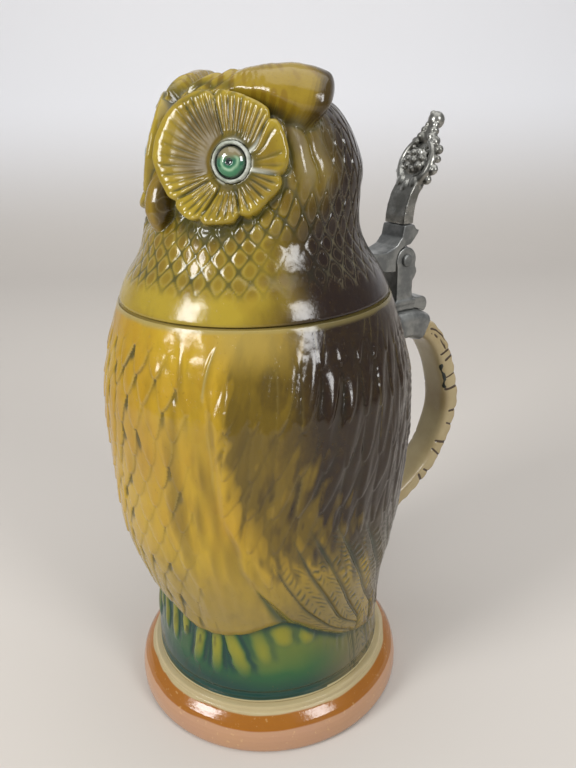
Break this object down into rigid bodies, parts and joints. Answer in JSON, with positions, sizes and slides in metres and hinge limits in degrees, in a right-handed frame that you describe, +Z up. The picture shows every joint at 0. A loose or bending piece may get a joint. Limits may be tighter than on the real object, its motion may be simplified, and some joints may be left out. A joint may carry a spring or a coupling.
{
  "type": "owl stein with hinged lid",
  "caption": "Glazed earthenware stein in the form of an owl, its head a hinged lid with a pewter thumblift, cuffed handle and lustre foot ring.",
  "frame": {"origin": "on the vessel's upright axis, at the flat underside of the foot ring", "axes": "+Z up along the vessel's axis; the owl looks along -Y, its left side is +X, and the handle and hinge are at +Y"},
  "size_m": [0.121, 0.1701, 0.2521],
  "materials": {
    "body_glaze": "ochre, brown and green running glaze over moulded plumage",
    "head_glaze": "ochre, brown and green running glaze over moulded plumage",
    "lustre_glaze": "orange lustre with a cream upper band",
    "cream_glaze": "cream glaze with dark brush marks",
    "eye_glass": "glossy dark green bead",
    "eye_cement": "matt white setting",
    "pewter": null,
    "pewter_bright": null
  },
  "bodies": {
    "stein": {"body_vessel": "body_glaze", "foot_ring": "lustre_glaze", "handle": "cream_glaze", "handle_cuff": "pewter", "hinge_post": "pewter", "hinge_pin": "pewter"},
    "lid": {"head_lid": "head_glaze", "eye_left": "eye_glass", "eye_right": "eye_glass", "eye_setting_left": "eye_cement", "eye_setting_right": "eye_cement", "lid_strap": "pewter", "strap_anchor": "pewter", "thumblift": "pewter_bright"}
  },
  "joints": [
    {"name": "lid_hinge", "type": "hinge", "parent": "stein", "child": "lid", "pos_m": [0, 0.0724, 0.1765], "axis": [-1, 0, 0], "range_deg": [0, 100]}
  ]
}
